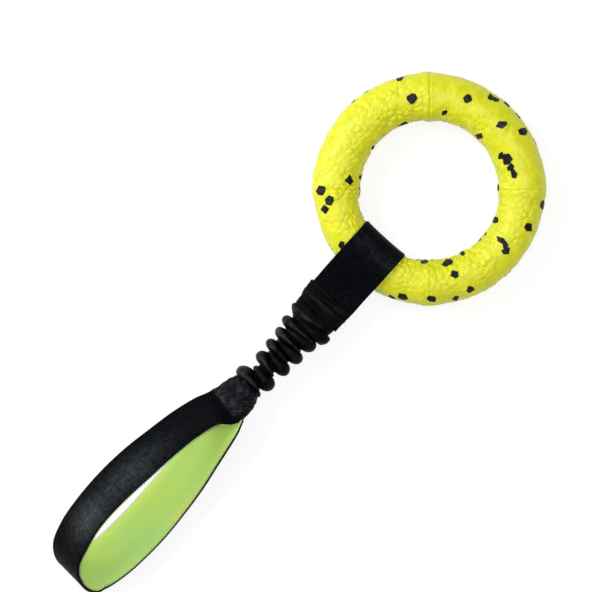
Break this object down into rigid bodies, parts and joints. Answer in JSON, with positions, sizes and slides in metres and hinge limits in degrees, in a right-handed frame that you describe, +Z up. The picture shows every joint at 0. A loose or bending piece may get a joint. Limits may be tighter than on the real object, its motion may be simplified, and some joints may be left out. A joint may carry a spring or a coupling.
{
  "type": "dog tug toy",
  "caption": "Floating tug toy for dogs: a flecked foam ring on a webbing strap, a ruched bungee and a lined hand loop.",
  "frame": {"origin": "under the middle of the toy's length and width, on the surface that it lies on", "axes": "+X from the hand loop to the ring, +Z up out of the surface, +Y to the left"},
  "size_m": [0.3804, 0.1384, 0.0505],
  "materials": {
    "ring_skin": "moulded foam skin, pebbled, satin, neon yellow with dark granules",
    "foam_core": "open foam, matte",
    "webbing": "woven black webbing, slight sheen",
    "sleeve_fabric": "black tubular weave, gathered",
    "elastic": "grey elastic band, matte",
    "neoprene": "lime green neoprene with a fine knit face"
  },
  "bodies": {
    "ring": {"ring_core": "foam_core", "ring_skin_tip": "ring_skin", "ring_skin_left": "ring_skin", "ring_skin_right": "ring_skin", "ring_skin_strap_side": "ring_skin"},
    "strap": {"ring_strap": "webbing"},
    "front_cuff": {"front_cuff": "sleeve_fabric", "strap_end_upper": "webbing", "strap_end_lower": "webbing"},
    "bungee": {"bungee_sleeve": "sleeve_fabric", "bungee_elastic": "elastic"},
    "rear_cuff": {"rear_cuff": "sleeve_fabric", "handle_end_upper": "webbing", "handle_end_lower": "webbing"},
    "handle": {"handle_webbing": "webbing", "handle_padding": "neoprene"}
  },
  "joints": [
    {"name": "strap_travel", "type": "hinge", "parent": "ring", "child": "strap", "pos_m": [0.12065, 0, 0.01617], "axis": [0, 0, 1], "continuous": true},
    {"name": "strap_fold", "type": "hinge", "parent": "strap", "child": "front_cuff", "pos_m": [0.039, 0, 0.01617], "axis": [0, 1, 0], "range_deg": [-80, 80], "stiffness_Nm_per_rad": 0.3, "deforming": ["strap_end_upper", "strap_end_lower"]},
    {"name": "bungee_bend", "type": "hinge", "parent": "front_cuff", "child": "bungee", "pos_m": [0.013, -0.0004, 0.01617], "axis": [0, 0, 1], "range_deg": [-40, 40], "stiffness_Nm_per_rad": 0.2, "deforming": ["bungee_sleeve", "bungee_elastic"]},
    {"name": "bungee_stretch", "type": "slide", "parent": "bungee", "child": "rear_cuff", "axis": [-1, 0, 0], "range_m": [0, 0.045], "stiffness_N_per_m": 450},
    {"name": "handle_fold", "type": "hinge", "parent": "rear_cuff", "child": "handle", "pos_m": [-0.06, 0.0028, 0.01697], "axis": [0, 0.891, -0.454], "range_deg": [-75, 75], "stiffness_Nm_per_rad": 0.3, "deforming": ["handle_end_upper", "handle_end_lower"]}
  ]
}
